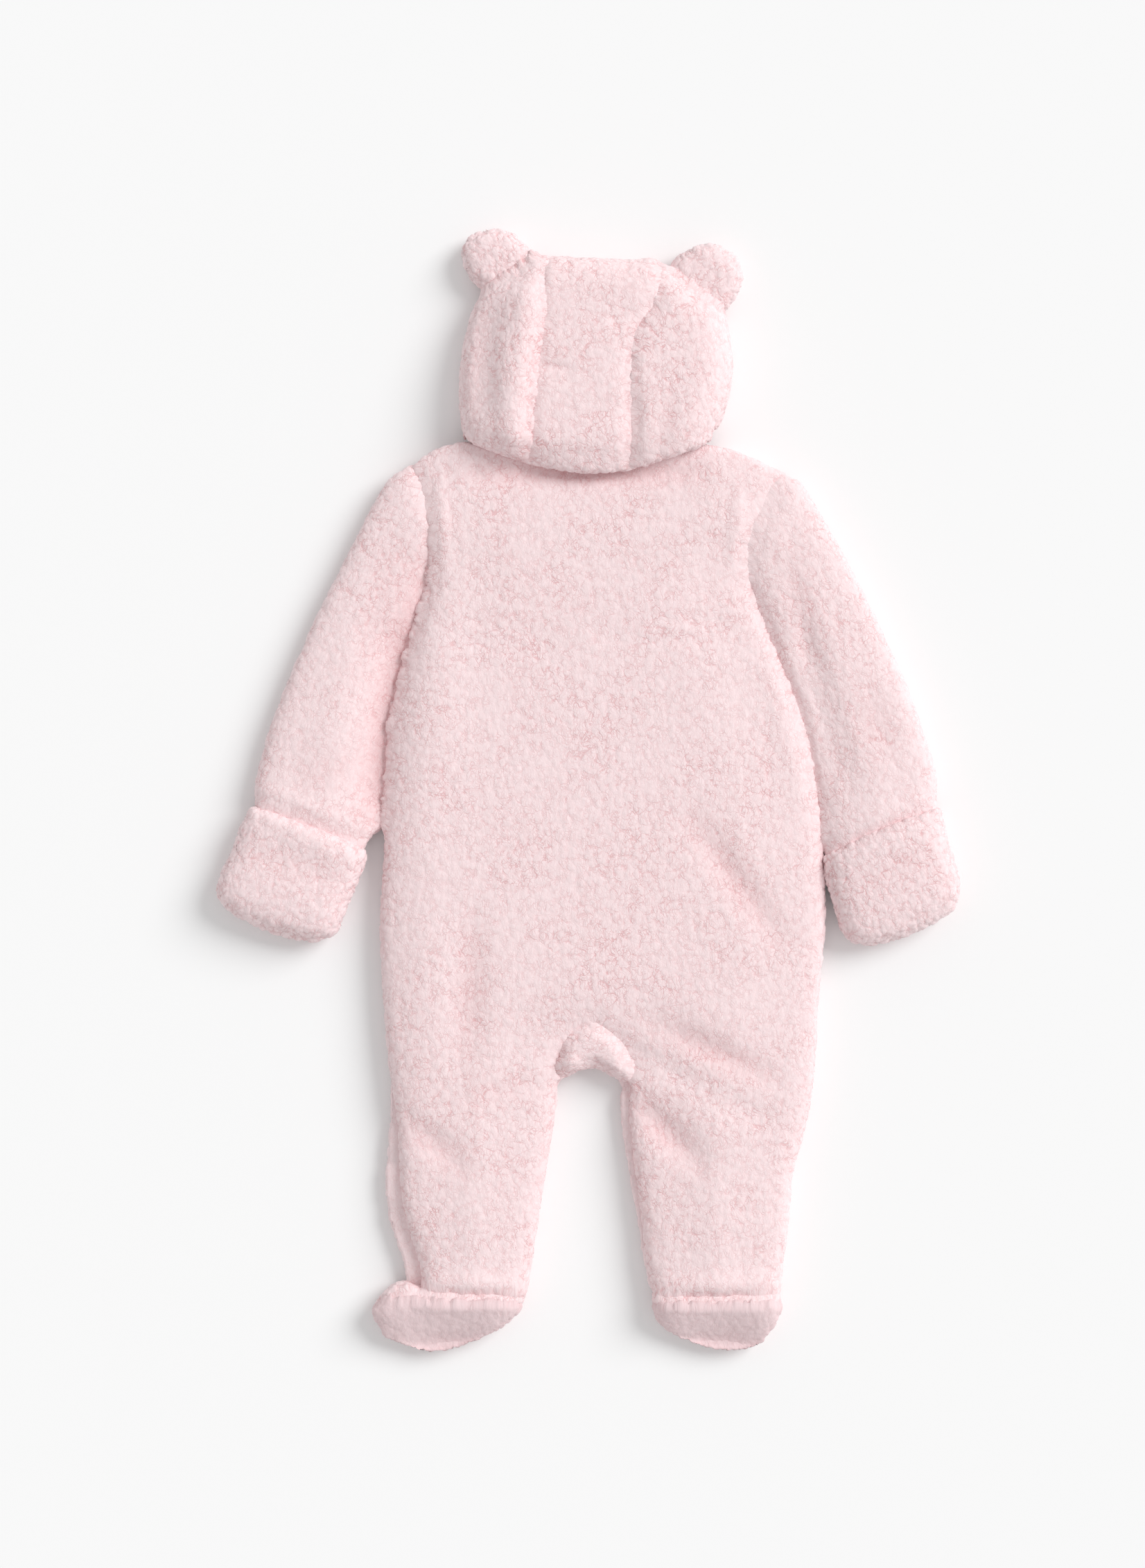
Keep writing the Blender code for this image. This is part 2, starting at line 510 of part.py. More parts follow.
def hood_top(plan):
    """Upper surface of the hood: it is highest at the nape, which rolls over the back."""
    height = HOOD_HEIGHT + NAPE_RISE * eased((326 - plan[..., 1]) / 100)
    rim = nearest(plan, HOOD_SIDES + [HOOD_CROWN])
    nape = off_line(plan, NAPE)
    high = EDGE_TOP + (height - EDGE_TOP) * rolled(rim / HOOD_ROLL)
    over = NAPE_EDGE + (height - NAPE_EDGE) * rolled(nape / NAPE_ROLL)
    groove = HOOD_GROOVE[1] * np.exp(-(nearest(plan, HOOD_SEAMS) / HOOD_GROOVE[0]) ** 2)
    fade = eased(rim / 12) * eased((nape + 4) / 12)
    return np.maximum(np.minimum(high, over) + (relief(plan, HOOD_FOLDS) + groove) * fade, EDGE_TOP)


def hood_lining_level(plan):
    """Underside of the hood's upper layer: on its lower layer, and up over the back at the nape."""
    over_back = eased((243 - plan[..., 1]) / 20)
    rest = np.maximum(back_top(plan) + 0.5, 18.0)
    level = (LAYER + SEAM_GAP) * (1 - over_back) + rest * over_back
    return np.minimum(level, hood_top(plan) - THINNEST)


def make_hood():
    """Three panels. Each side turns under at its edge, and the centre turns under at the crown."""
    names = ("hood_side_left", "hood_centre", "hood_side_right")
    inset = np.array([SEAM_GAP / 2, 0.0])
    for k, name in enumerate(names):
        plan = hood_plan((k, k + 1), sag=HOOD_SAG[k])
        plan[:, 0] += inset * (k > 0)
        plan[:, -1] -= inset * (k < 2)
        upper = solid(name, plan, hood_top(plan), hood_lining_level(plan))
        under = solid(f"{name}_turned_under", *(crown_turned_under() if k == 1 else side_turned_under(k)))
        under.hide_render = True
        under.display_type = "WIRE"
        garment.objects.unlink(under)
        guides.objects.link(under)
        union = upper.modifiers.new("turned under", "BOOLEAN")
        union.operation = "UNION"
        union.solver = "EXACT"
        union.object = under


def crown_turned_under():
    """Plan, top and bottom of the centre panel's layer from the crown to the brow of the face opening."""
    brow = FACE_OPENING[1][1]
    levels = np.array([brow, 312.0, 320.0, 325.0, 327.2, 331.0, 335.0])
    share = (levels - brow) / (levels[-1] - brow)
    edges = [np.stack([np.interp(levels, line[:, 1], line[:, 0]) - inward * SEAM_GAP,
                       brow + share * (line[-1, 1] - brow)], 1) for line, inward in zip(HOOD_SEAMS, (-1, 1))]
    plan = ruled(*edges, 3)
    top = LAYER + TURNED_LAP * (off_line(plan, HOOD_CROWN) < 9.5)
    return plan, top, underside(plan, [HOOD_CROWN])


def side_turned_under(panel):
    """The same of a side panel, from its outer edge to the face opening's side."""
    (left, right), (chin, brow) = FACE_OPENING
    edge, inward, column, seam_column = (left, 1.0, 0, 1) if panel == 0 else (right, -1.0, 3, 2)
    places = rows_for([row[column] for row in HOOD_ROWS])
    places = np.concatenate([[1.0], places[places > 1.2]])
    outer, seam = (through([row[k] for row in HOOD_ROWS], places) for k in (column, seam_column))
    to_seam = edge + (seam[:, 0] - edge) * eased((outer[:, 1] - brow + 10) / 16)
    inner_x = np.where(outer[:, 1] < chin - 4, edge, to_seam)
    inner_x = inward * np.minimum(inward * inner_x, inward * seam[:, 0] - SEAM_GAP)
    plan = ruled(outer, np.stack([inner_x, seam[:, 1]], 1), 3)
    plan[..., 1] = np.maximum(plan[..., 1], TURNED_EDGE)
    side = drawn([row[column] for row in HOOD_ROWS])
    top = LAYER + TURNED_LAP * (off_line(plan, side) < 8.0)
    return plan, top, underside(plan, [side, HOOD_CROWN])


def make_ear(side):
    """Two round leaves, sewn round their rim and into the hood's edge."""
    plan = bowed_rows(EARS[side], 1)
    away = nearest(plan, outline(EARS[side]))
    low, seam, rim, top = EAR_LEVELS
    level = np.full(plan.shape[:2], seam)
    solid(f"ear_upper_{side}", plan, rim + (top - rim) * rolled(away / EAR_ROLL), level + SEAM_GAP)
    solid(f"ear_lower_{side}", plan, level, low * (1 - rolled(away / 8.0)))


def make_foot(side):
    """The upper lies on the floor and stands up round the heel; the sole lies on it, facing up."""
    table = FEET[side]
    band = bowed_rows(table, 2, 0.0, HEEL_BAND)
    plan = np.concatenate([band, bowed_rows(table, 2, HEEL_BAND + 0.04)])
    away = nearest(plan, outline(table))
    groove = ANKLE_GROOVE[1] * np.exp(-(off_line(plan, plan[0]) / ANKLE_GROOVE[0]) ** 2)
    heel = EDGE_TOP + (HEEL_HEIGHT - EDGE_TOP) * rolled(away / 15.0) + groove * eased(away / 10)
    stands = np.arange(len(plan)) < len(band)
    solid(f"foot_upper_{side}", plan, np.where(stands[:, None], heel, LAYER), 6.0 * (1 - rolled(away / UNDER_ROLL)))
    plan = bowed_rows(table, 2, HEEL_BAND + 0.09)
    away = nearest(plan, outline(table))
    height = SOLE_HEIGHT - SOLE_FALL * np.clip(off_line(plan, plan[0]) / SOLE_LENGTH, 0, 1)
    top = EDGE_TOP - 1.0 + (height - EDGE_TOP + 1.0) * rolled(away / 14.0)
    solid(f"foot_sole_{side}", plan, top, np.full(plan.shape[:2], LAYER + SEAM_GAP))


def make_zip():
    """Closed chain on its tapes, one flat strip, and the slider at the neck end."""
    low, high = ZIP_SPAN
    places = np.linspace(low, high, 12)
    centre = np.interp(places, [row[1][1] for row in BODY_ROWS[::-1]], [row[1][0] for row in BODY_ROWS[::-1]])
    half = ZIP_WIDTH / 2
    plan = np.stack([np.stack([centre - half, places], 1), np.stack([centre + half, places], 1)], 1)
    bottom, top = (np.full(plan.shape[:2], level) for level in ZIP_LEVELS)
    solid("zip", plan, top, bottom, colour=TAPE_PINK)
    mesh = bmesh.new()
    bmesh.ops.create_cube(mesh, size=1.0)
    bmesh.ops.scale(mesh, vec=SLIDER_SIZE, verts=mesh.verts)
    place = high - SLIDER_OFF_END
    level = ZIP_LEVELS[0] - SEAM_GAP - SLIDER_SIZE[2] / 2
    bmesh.ops.translate(mesh, vec=(np.interp(place, places, centre), place, level), verts=mesh.verts)
    bmesh.ops.bevel(mesh, geom=mesh.edges, offset=0.8, segments=2, affect="EDGES")
    finished("zip_slider", mesh, colour=LACQUER_PINK, roughness=0.35)


for old in list(bpy.data.objects):
    bpy.data.objects.remove(old)
garment = bpy.data.collections.new("pramsuit")
guides = bpy.data.collections.new("guides")
for collection in (garment, guides):
    bpy.context.scene.collection.children.link(collection)

make_back()
make_fronts()
make_gusset()
make_zip()
make_hood()
for side, outward in SIDES:
    make_sleeve(side, outward)
    make_mitts(side)
    make_ear(side)
    make_foot(side)
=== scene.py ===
"""Scene for a hooded, footed baby pramsuit in curly sherpa, laid flat with its back up.

Metres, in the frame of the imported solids: +X to the right of a viewer who looks down on the back, +Y to the
hood, +Z up from the floor. A panel's folds are rows of (from, to, half width, rise), the points in X and Y.
"""

import bmesh
import bpy
import numpy as np
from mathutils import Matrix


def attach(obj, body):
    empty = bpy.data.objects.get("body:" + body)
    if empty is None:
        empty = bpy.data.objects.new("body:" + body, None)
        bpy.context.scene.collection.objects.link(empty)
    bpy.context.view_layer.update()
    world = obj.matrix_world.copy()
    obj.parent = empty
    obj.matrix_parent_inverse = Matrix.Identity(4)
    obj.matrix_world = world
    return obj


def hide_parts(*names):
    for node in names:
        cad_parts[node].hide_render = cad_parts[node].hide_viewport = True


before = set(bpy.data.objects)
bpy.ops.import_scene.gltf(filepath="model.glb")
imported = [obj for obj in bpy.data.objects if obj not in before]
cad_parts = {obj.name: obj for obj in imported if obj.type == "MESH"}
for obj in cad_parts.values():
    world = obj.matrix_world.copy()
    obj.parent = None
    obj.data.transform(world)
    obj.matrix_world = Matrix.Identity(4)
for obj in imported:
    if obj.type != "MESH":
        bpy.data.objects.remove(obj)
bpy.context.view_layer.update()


# --- Camera: straight down on the laid garment ------------------------------------------------------------
# It stands over the garment's middle, far enough off that the sides hardly show. Its lens follows from its
# height and from the length of floor that the frame spans.
CAMERA_HEIGHT = 2.35
VIEW_CENTRE = (-0.0101, 0.0035)
VIEW_LENGTH = 0.9953            # what the frame's long side spans on the floor
SENSOR = 36.0                   # millimetres, on the long side

camera_data = bpy.data.cameras.new("camera")
camera_data.sensor_fit = "VERTICAL"
camera_data.sensor_height = SENSOR
camera_data.lens = SENSOR * CAMERA_HEIGHT / VIEW_LENGTH
camera = bpy.data.objects.new("camera", camera_data)
camera.location = (*VIEW_CENTRE, CAMERA_HEIGHT)
bpy.context.scene.collection.objects.link(camera)
bpy.context.scene.camera = camera


# --- Studio: a white table top under a soft window and a pale room ----------------------------------------
# The light comes in low from the right, a little from the hood's side, and is wide enough for soft shadows.
# The pale room fills them from all round.
FLOOR_SIZE = 6.0
FLOOR_WHITE = (0.95, 0.95, 0.95, 1.0)
SKY = (1.0, 1.0, 1.0, 1.0)
SKY_STRENGTH = 0.615
WINDOW_TURN = (0.0, 0.95, 0.55)
WINDOW_WIDTH = 0.6              # radians
WINDOW_STRENGTH = 2.05


def linked(obj):
    """Puts a new object in the scene."""
    bpy.context.scene.collection.objects.link(obj)
    return obj


half = FLOOR_SIZE / 2
floor_corners = [(-half, -half, 0), (half, -half, 0), (half, half, 0), (-half, half, 0)]
floor_mesh = bpy.data.meshes.new("floor")
floor_mesh.from_pydata(floor_corners, [], [(0, 1, 2, 3)])
floor = linked(bpy.data.objects.new("floor", floor_mesh))
floor_paint = bpy.data.materials.new("white table")
floor_paint.use_nodes = True
floor_shader = floor_paint.node_tree.nodes["Principled BSDF"]
floor_shader.inputs["Base Color"].default_value = FLOOR_WHITE
floor_shader.inputs["Roughness"].default_value = 0.8
floor_shader.inputs["Specular IOR Level"].default_value = 0.1
floor_mesh.materials.append(floor_paint)

world = bpy.data.worlds.new("pale room")
world.use_nodes = True
world.node_tree.nodes["Background"].inputs["Color"].default_value = SKY
world.node_tree.nodes["Background"].inputs["Strength"].default_value = SKY_STRENGTH
bpy.context.scene.world = world
bpy.context.scene.view_settings.view_transform = "Standard"

window_light = bpy.data.lights.new("window", "SUN")
window_light.energy = WINDOW_STRENGTH
window_light.angle = WINDOW_WIDTH
window = linked(bpy.data.objects.new("window", window_light))
window.rotation_euler = WINDOW_TURN


# --- Back: the one broad panel that shows, curly sherpa from the neck to both ankles ----------------------
# Knitted backing under a deep pile whose curls have matted into small tufts, with wiggly fissures between
# them. Cut in one piece, sewn to the sleeves, the gusset, the fronts and the feet, with the nap down to the
# ankles.
TUFT = (0.0020, 0.0037, 0.0027)      # a curl's end, across the nap, along it, and in depth
LOCK = (0.0045, 0.0070, 0.0054)      # a lock of them, matted together
TUFT_BENDS = ((150.0, 0.0046), (520.0, 0.0024))     # noise scale and reach of the fissures' wiggles
LOCK_BENDS = ((110.0, 0.0080), (420.0, 0.0046))


def joined(tree, kind, *inputs, **settings):
    """A new node of a tree with its settings made and its first inputs filled, by value or from a socket."""
    node = tree.nodes.new(kind)
    for key, value in settings.items():
        setattr(node, key, value)
    for socket, value in zip(node.inputs, inputs):
        if isinstance(value, bpy.types.NodeSocket):
            tree.links.new(value, socket)
        elif value is not None:
            socket.default_value = value
    return node


def worked_out(tree, operation, *inputs, **settings):
    """A number from one Math node."""
    return joined(tree, "ShaderNodeMath", *inputs, operation=operation, **settings).outputs[0]


def moved(tree, operation, *inputs):
    """A vector from one Vector Math node."""
    return joined(tree, "ShaderNodeVectorMath", *inputs, operation=operation).outputs[0]


def ranged(tree, value, low, high, at_low, at_high, **settings):
    """The value taken from one range to another and held at its ends."""
    return joined(tree, "ShaderNodeMapRange", value, low, high, at_low, at_high, **settings).outputs[0]


def noise(tree, place, scale, detail):
    """A noise texture at the place."""
    texture = joined(tree, "ShaderNodeTexNoise", place)
    texture.inputs["Scale"].default_value = scale
    texture.inputs["Detail"].default_value = detail
    return texture


def bent(tree, place, scale, reach):
    """The place moved by smooth noise of that scale, up to half the reach each way."""
    centred = moved(tree, "SUBTRACT", noise(tree, place, scale, 1.0).outputs["Color"], (0.5, 0.5, 0.5))
    return moved(tree, "ADD", place, moved(tree, "MULTIPLY", centred, (reach,) * 3))


def tufts(tree, place, size, bends):
    """Distance to the nearest fissure, distance to the tuft's middle and the tuft's own shade, in tuft
    widths.

    The bent place is divided by the tuft's size and goes into Voronoi cells one wide. The same nodes go
    into the shape's node tree and into the material's, so that colour and form agree.
    """
    for scale, reach in bends:
        place = bent(tree, place, scale, reach)
    cells = moved(tree, "MULTIPLY", place, tuple(1 / s for s in size))
    edge = joined(tree, "ShaderNodeTexVoronoi", cells, feature="DISTANCE_TO_EDGE")
    middle = joined(tree, "ShaderNodeTexVoronoi", cells, feature="F1")
    for texture in (edge, middle):
        texture.inputs["Scale"].default_value = 1.0
    own = joined(tree, "ShaderNodeSeparateXYZ", middle.outputs["Color"])
    return edge.outputs["Distance"], middle.outputs["Distance"], own.outputs[0]


WELD = 0.00001                       # a solid's corners nearer than this are one
UPRIGHT = 0.95                       # a normal's least rise on a level face
LEVEL_WITHIN = 0.7                   # of a cell
EASE = 0.5                           # of the way to the neighbours' mean, at each step
RIM_STEPS = 3                        # the open rim eases too in the first steps, and then holds


def even_skin(node, cell, steps, inner_face):
    """A panel's solid as even quads: its welded copy is remeshed in cubes of the cell's size, then eased.

    At each step every vertex moves part of the way to the mean of its neighbours. A flat face that lies on
    the panel's other layer, at the height inner_face, is left open.
    """
    form = bpy.data.meshes.new(node + " form")
    welded = bmesh.new()
    welded.from_mesh(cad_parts[node].data)
    bmesh.ops.remove_doubles(welded, verts=welded.verts, dist=WELD)
    welded.to_mesh(form)
    welded.free()
    holder = linked(bpy.data.objects.new(node + " form", form))
    remesh = holder.modifiers.new("even", "REMESH")
    remesh.mode = "VOXEL"
    remesh.voxel_size = cell
    even = bpy.data.meshes.new_from_object(holder.evaluated_get(bpy.context.evaluated_depsgraph_get()))
    points = read(even.vertices, "co", 3)
    quads = read(even.loops, "vertex_index", 4).astype(np.int64)
    bpy.data.objects.remove(holder)
    bpy.data.meshes.remove(form)
    bpy.data.meshes.remove(even)
    if inner_face is not None:
        upright = np.abs(outward(points, quads)[:, 2]) > UPRIGHT
        hidden = upright & (np.abs(points[:, 2] - inner_face) < LEVEL_WITHIN * cell)
        points, quads = without_loose(points, quads[~hidden[quads].all(axis=1)])
    points, quads = main_part(points, quads)
    on_rim = rim(quads, len(points))[:, None]
    for step in range(steps):
        eased = points + EASE * (neighbours_mean(points, quads) - points)
        points = np.where(on_rim & (step >= RIM_STEPS), points, eased)
    return points, quads


def read(items, name, columns):
    """One property of all of a mesh's elements as an array with that many columns."""
    first = getattr(items[0], name)
    per_item = len(first) if hasattr(first, "__len__") else 1
    values = np.empty(len(items) * per_item)
    items.foreach_get(name, values)
    return values.reshape(-1, columns)


def without_loose(points, quads):
    """The quads, and only the points that they use."""
    used, quads = np.unique(quads, return_inverse=True)
    return points[used], quads.reshape(-1, 4)


def main_part(points, quads):
    """The largest connected part, without the specks that remeshing can leave.

    Each vertex takes the lowest label in its quads, and that one's own label, until none changes.
    """
    label, before = np.arange(len(points)), None
    while before is None or (label != before).any():
        before = label.copy()
        np.minimum.at(label, quads.ravel(), np.repeat(label[quads].min(axis=1), 4))
        label = label[label]
    largest = np.bincount(label).argmax()
    return without_loose(points, quads[label[quads[:, 0]] == largest])


def neighbours_mean(values, quads):
    """Each vertex's mean over the ends of its edges, each edge counted once for each of its quads."""
    a, b = quads.ravel(), np.roll(quads, -1, axis=1).ravel()
    size = len(values)
    count = np.bincount(a, minlength=size) + np.bincount(b, minlength=size)
    columns = values.reshape(size, -1).T
    total = [np.bincount(a, column[b], size) + np.bincount(b, column[a], size) for column in columns]
    return (np.array(total) / np.maximum(count, 1)).T.reshape(values.shape)


def rim(quads, count):
    """Which vertices lie on an open edge, one that a single quad has."""
    ends = np.sort(np.stack([quads.ravel(), np.roll(quads, -1, axis=1).ravel()]), axis=0)
    codes, uses = np.unique(ends[0] * count + ends[1], return_counts=True)
    on_rim = np.zeros(count, bool)
    on_rim[codes[uses == 1] // count] = True
    on_rim[codes[uses == 1] % count] = True
    return on_rim


def outward(points, quads):
    """Unit normals at the vertices: the sum, over a vertex's quads, of their diagonals' cross products."""
    cross = np.cross(points[quads[:, 2]] - points[quads[:, 0]], points[quads[:, 3]] - points[quads[:, 1]])
    corners = quads.ravel()
    total = [np.bincount(corners, np.repeat(cross[:, axis], 4), len(points)) for axis in range(3)]
    total = np.stack(total, axis=1)
    return total / np.maximum(np.linalg.norm(total, axis=1, keepdims=True), 1e-12)


def quad_mesh(name, points, quads):
    """A smooth-shaded mesh object of quads."""
    mesh = bpy.data.meshes.new(name)
    mesh.vertices.add(len(points))
    mesh.vertices.foreach_set("co", points.ravel())
    mesh.loops.add(quads.size)
    mesh.loops.foreach_set("vertex_index", quads.ravel())
    mesh.polygons.add(len(quads))
    mesh.polygons.foreach_set("loop_start", np.arange(len(quads)) * 4)
    mesh.polygons.foreach_set("use_smooth", np.ones(len(quads), bool))
    mesh.update()
    return linked(bpy.data.objects.new(name, mesh))


def closed(mesh):
    """Fills what even_skin left open with one flat face, cut into triangles."""
    edited = bmesh.new()
    edited.from_mesh(mesh)
    open_edges = [edge for edge in edited.edges if edge.is_boundary]
    filled = bmesh.ops.holes_fill(edited, edges=open_edges, sides=0)
    bmesh.ops.triangulate(edited, faces=filled["faces"])
    edited.to_mesh(mesh)
    edited.free()


def stored(tree, shape, name, value, kind="FLOAT"):
    """The shape with one value kept at its vertices under a name."""
    store = joined(tree, "GeometryNodeStoreNamedAttribute", shape, None, name, data_type=kind,
                   domain="POINT")
    tree.links.new(value, store.inputs["Value"])
    return store.outputs[0]


def lock_shape_tree():
    """Geometry nodes that store two things at each vertex: what tufts() finds for the locks at its place in
    the pile, and the nearest point on the panels next to it."""
    tree = bpy.data.node_groups.new("lock shape", "GeometryNodeTree")
    tree.interface.new_socket("Geometry", in_out="INPUT", socket_type="NodeSocketGeometry")
    tree.interface.new_socket("Next to", in_out="INPUT", socket_type="NodeSocketCollection")
    tree.interface.new_socket("Geometry", in_out="OUTPUT", socket_type="NodeSocketGeometry")
    entry = tree.nodes.new("NodeGroupInput")
    shape = entry.outputs[0]
    named = joined(tree, "GeometryNodeInputNamedAttribute", "pile_place", data_type="FLOAT_VECTOR")
    for name, value in zip(("edge", "middle", "own"), tufts(tree, named.outputs[0], LOCK, LOCK_BENDS)):
        shape = stored(tree, shape, name, value)
    others = joined(tree, "GeometryNodeCollectionInfo", entry.outputs[1], transform_space="RELATIVE")
    solid = joined(tree, "GeometryNodeRealizeInstances", others.outputs[0])
    near = joined(tree, "GeometryNodeProximity", solid.outputs[0], target_element="FACES")
    shape = stored(tree, shape, "across", near.outputs["Position"], "FLOAT_VECTOR")
    tree.links.new(shape, tree.nodes.new("NodeGroupOutput").inputs[0])
    return tree


lock_shape = lock_shape_tree()
PILE_DEPTH = 0.00045
DOMED, UNEQUAL, CLEFT = 0.5, 0.3, 0.4     # shares of the depth: a lock's dome, its own height, its fissure
CLEFT_WIDTH = 0.08                   # in lock widths
MEETING = 0.0045                     # two panels' piles meet over a gap narrower than this
OVERLAP = (0.0010, 0.0024)           # how far past the gap's middle, and what the longest lock adds


def pile_relief(made, node, depth, beside):
    """Height of the pile over the solid, the way it leans to meet a neighbour's pile, and how near that is.

    The height is a share of the depth for the lock's dome, which falls with the square of the distance to
    its middle, plus one for the lock's own height, less one for the fissure, a bell across its edge. The
    lean points to the nearest neighbour, half the gap and the overlap long, and fades out from one to two
    meeting gaps.
    """
    others = bpy.data.collections.new(node + " neighbours")
    for name in beside:
        others.objects.link(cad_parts[name])
    sampler = made.modifiers.new("locks", "NODES")
    sampler.node_group = lock_shape
    sampler[lock_shape.interface.items_tree["Next to"].identifier] = others
    seen = made.evaluated_get(bpy.context.evaluated_depsgraph_get()).data.attributes
    edge, middle, own = (read(seen[name].data, "value", 1)[:, 0] for name in ("edge", "middle", "own"))
    across = read(seen["across"].data, "vector", 3) - read(made.data.vertices, "co", 3)
    made.modifiers.remove(sampler)
    bpy.data.collections.remove(others)
    gap = np.linalg.norm(across, axis=1)
    near = np.clip(2.0 - gap / MEETING, 0, 1) * bool(beside)
    reach = near * (np.minimum(gap / 2, MEETING / 2) + OVERLAP[0] + OVERLAP[1] * own)
    fissure = np.exp(-(edge / CLEFT_WIDTH) ** 2)
    relief = depth * (DOMED * (1 - middle ** 2) + UNEQUAL * own - CLEFT * fissure)
    return relief, across * (reach / np.maximum(gap, 1e-6))[:, None], near


LEFT_AT_ENDS = 0.35                  # of a fold's rise


def folded(points, folds):
    """Sum of soft ridges and troughs: each falls off as a bell across its line, and fades along it as half
    a sine wave down to what is left at its ends."""
    total = np.zeros(len(points))
    for start, end, width, rise in folds:
        start, along = np.array(start), np.subtract(end, start)
        share = np.clip((points[:, :2] - start) @ along / (along @ along), 0, 1)
        nearest = start + share[:, None] * along
        away = np.hypot(*(points[:, :2] - nearest).T)
        fading = LEFT_AT_ENDS + (1 - LEFT_AT_ENDS) * np.sin(np.pi * share)
        total += rise * np.exp(-(away / width) ** 2) * fading
    return total


TUFT_FISSURE = (0.22, 0.40)          # half width in tuft widths, and strength
LOCK_FISSURE = (0.095, 0.95)
PATCHES = 30.0                       # noise scale of the patches where the pile is felted
PATCH_RANGE = (0.36, 0.64)
FELTED = (0.70, 0.45)                # what is left there of a tuft's fissure, and of a lock's
BREAKS = 190.0                       # noise scale of the short breaks in a fissure
BREAK_RANGE = (0.40, 0.56)
BROKEN = 0.30                        # what is left of it in a break
FIBRES = 1300.0                      # noise scale, drawn out along the nap and wavy
FIBRE_STRETCH = (1.0, 0.20, 0.6)
FIBRE_BEND = (150.0, 0.0046)
MOTTLING = (0.40, -0.17)             # the fibres' share in the colour, and its offset
CREASE_SHADE_MIX = 0.42                       # how far the painted shade of troughs and seams goes toward the deeper pink
TONES = (0.985, 1.012)               # from the darkest tuft to the lightest
FIBRE_RISE, TUFT_DOME, LOCK_DOME, FISSURE_DROP = 0.35, -0.30, -0.45, -0.75


def sherpa_group():
    """Node group: the pile's colour and fibre height, light on the tufts and a deeper pink of painted shade
    in the fissures.
    """
    group = bpy.data.node_groups.new("curly pile", "ShaderNodeTree")
    for name, kind in (("Tips", "Color"), ("Mottle and shade", "Color"), ("Fissures", "Float")):
        group.interface.new_socket(name, in_out="INPUT", socket_type="NodeSocket" + kind)
    for name, kind in (("Color", "Color"), ("Height", "Float")):
        group.interface.new_socket(name, in_out="OUTPUT", socket_type="NodeSocket" + kind)
    inputs, outputs = group.nodes.new("NodeGroupInput"), group.nodes.new("NodeGroupOutput")
    place = joined(group, "ShaderNodeAttribute", attribute_name="pile_place").outputs["Vector"]
    tuft_edge, tuft_middle, own = tufts(group, place, TUFT, TUFT_BENDS)
    lock_edge, lock_middle = tufts(group, place, LOCK, LOCK_BENDS)[:2]

    # A fissure is a narrow band round a tuft or a lock, open in some patches and felted shut in others. The
    # deeper of the two bands counts, and short breaks interrupt it.
    patches = noise(group, place, PATCHES, 2.0).outputs["Fac"]
    bands = []
    for edge, (width, strength), left in zip((tuft_edge, lock_edge), (TUFT_FISSURE, LOCK_FISSURE), FELTED):
        band = ranged(group, edge, 0.0, width, strength, 0.0, interpolation_type="SMOOTHERSTEP")
        bands.append(worked_out(group, "MULTIPLY", band, ranged(group, patches, *PATCH_RANGE, left, 1.0)))
    breaks = noise(group, place, BREAKS, 1.0).outputs["Fac"]
    deep = worked_out(group, "MAXIMUM", *bands)
    deep = worked_out(group, "MULTIPLY", deep, ranged(group, breaks, *BREAK_RANGE, BROKEN, 1.0))
    deep = worked_out(group, "MULTIPLY", deep, inputs.outputs["Fissures"])

    # Fine fibres run along the nap and mottle tips and fissures alike. The fissures, the troughs and a
    # panel's upright edges beside a seam go to the deeper pink as painted shade.
    wavy = bent(group, place, *FIBRE_BEND)
    fibres = noise(group, moved(group, "MULTIPLY", wavy, FIBRE_STRETCH), FIBRES, 2.0).outputs["Fac"]
    mottle_and_shade_mix = worked_out(group, "ADD", deep, worked_out(group, "MULTIPLY_ADD", fibres, *MOTTLING))
    crease_and_seam_shade = joined(group, "ShaderNodeAttribute", attribute_name="crease_and_seam_shade").outputs["Fac"]
    mottle_and_shade_mix = worked_out(group, "MULTIPLY_ADD", crease_and_seam_shade, CREASE_SHADE_MIX, mottle_and_shade_mix, use_clamp=True)
    mixed = joined(group, "ShaderNodeMix", data_type="RGBA")
    group.links.new(mottle_and_shade_mix, mixed.inputs["Factor"])
    group.links.new(inputs.outputs["Tips"], mixed.inputs[6])
    group.links.new(inputs.outputs["Mottle and shade"], mixed.inputs[7])
    shade = moved(group, "MULTIPLY", mixed.outputs[2], ranged(group, own, 0.0, 1.0, *TONES))
    group.links.new(shade, outputs.inputs["Color"])

    # Tufts and locks are small domes, which fall with the square of the distance to their middles. Their
    # fibres roughen them, and their fissures cut them off.
    height = worked_out(group, "MULTIPLY_ADD", fibres, FIBRE_RISE, 0.0)
    for middle, drop in ((tuft_middle, TUFT_DOME), (lock_middle, LOCK_DOME)):
        dome = worked_out(group, "MULTIPLY", middle, middle)
        height = worked_out(group, "MULTIPLY_ADD", dome, drop, height)
    height = worked_out(group, "MULTIPLY_ADD", deep, FISSURE_DROP, height)
    group.links.new(height, outputs.inputs["Height"])
    return group


curly_pile = sherpa_group()
# Tips is the pile's own colour. The deeper pink mottles it at random and is painted shade in the fissures,
# troughs and seams.
TIPS = (0.935, 0.765, 0.777, 1.0)
MOTTLE_AND_SHADE_PINK = (0.79, 0.48, 0.49, 1.0)
BUMP_STRENGTH = 0.36
BUMP_HEIGHT = 0.0008


